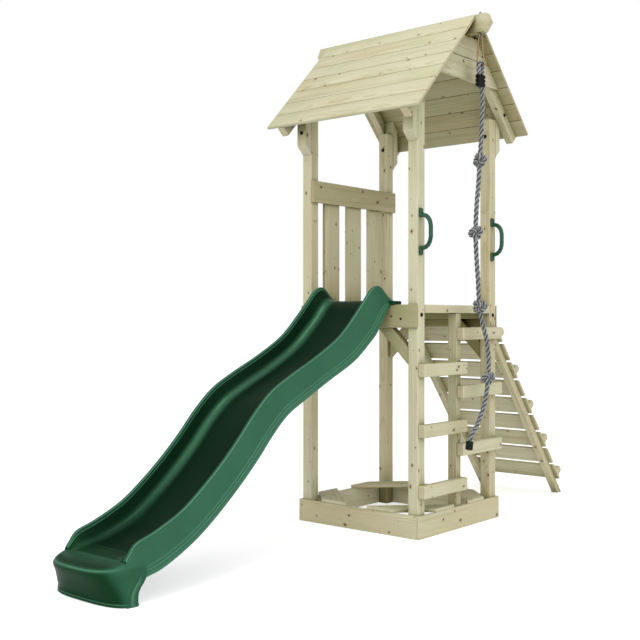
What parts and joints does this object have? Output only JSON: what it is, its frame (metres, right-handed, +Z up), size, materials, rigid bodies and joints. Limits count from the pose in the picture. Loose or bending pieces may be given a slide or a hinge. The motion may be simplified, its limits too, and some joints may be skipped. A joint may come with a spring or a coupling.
{
  "type": "play tower",
  "caption": "Timber play tower with a gabled roof over a raised platform, wave slide, rung ladder, slatted climbing ramp, sandpit, grab handles and a hanging knotted rope.",
  "frame": {"origin": "on the ground, in the middle of the fixed pieces' box", "axes": "+X from the slide's foot through the tower to the climbing ramp; +Y from the ladder and rope side to the balustrade side; +Z up"},
  "size_m": [3.6229, 1.176, 2.753],
  "materials": {
    "pine": "sawn, pressure treated",
    "green_plastic": "moulded, satin",
    "grip_plastic": "moulded, glossy",
    "black_plastic": "moulded, matt",
    "brass": "yellow passivated",
    "zinc": "zinc plated",
    "rope_fibre": "twisted from three strands"
  },
  "bodies": {
    "tower": {"post_ladder_slide": "pine", "post_guard_slide": "pine", "post_ladder_ramp": "pine", "post_guard_ramp": "pine", "ladder_mid_post": "pine", "base_board_ladder": "pine", "base_board_guard": "pine", "base_board_slide": "pine", "base_board_ramp": "pine", "seat_ladder_slide": "pine", "seat_guard_slide": "pine", "seat_ladder_ramp": "pine", "seat_guard_ramp": "pine", "side_beam_slide": "pine", "side_beam_ramp": "pine", "deck": "pine", "brace_ladder_slide": "pine", "brace_guard_slide": "pine", "brace_ladder_ramp": "pine", "brace_guard_ramp": "pine", "balustrade": "pine", "rung_left_1": "pine", "rung_left_2": "pine", "rung_left_3": "pine", "rung_right_1": "pine", "rung_right_2": "pine", "rung_right_3": "pine", "cladding_slide": "pine", "cladding_ramp": "pine", "ridge_beam": "pine", "rafter_ladder_slide": "pine", "rafter_ladder_ramp": "pine", "rafter_guard_slide": "pine", "rafter_guard_ramp": "pine", "cleat_ladder_slide": "pine", "cleat_ladder_ramp": "pine", "cleat_guard_slide": "pine", "cleat_guard_ramp": "pine", "gable_infill_ladder": "pine", "gable_infill_guard": "pine", "stringer_ladder": "pine", "stringer_guard": "pine", "ramp_slat_1": "pine", "ramp_slat_2": "pine", "ramp_slat_3": "pine", "ramp_slat_4": "pine", "ramp_slat_5": "pine", "ramp_slat_6": "pine", "ramp_slat_7": "pine", "ramp_slat_8": "pine", "ramp_slat_9": "pine", "ramp_slat_10": "pine", "slide": "green_plastic", "handle_slide_post": "grip_plastic", "handle_ramp_post": "grip_plastic", "eye_bolt": "zinc"},
    "link": {"spring_link": "brass"},
    "rope": {"rope": "rope_fibre", "rope_clamp": "black_plastic", "end_cap": "black_plastic"}
  },
  "joints": [
    {"name": "link_in_and_out", "type": "hinge", "parent": "tower", "child": "link", "pos_m": [0.41275, -0.524, 2.6167], "axis": [1, 0, 0], "range_deg": [-25, 0.5]},
    {"name": "rope_sideways", "type": "hinge", "parent": "link", "child": "rope", "pos_m": [0.41275, -0.524, 2.468], "axis": [0, 1, 0], "range_deg": [-20, 20]}
  ]
}
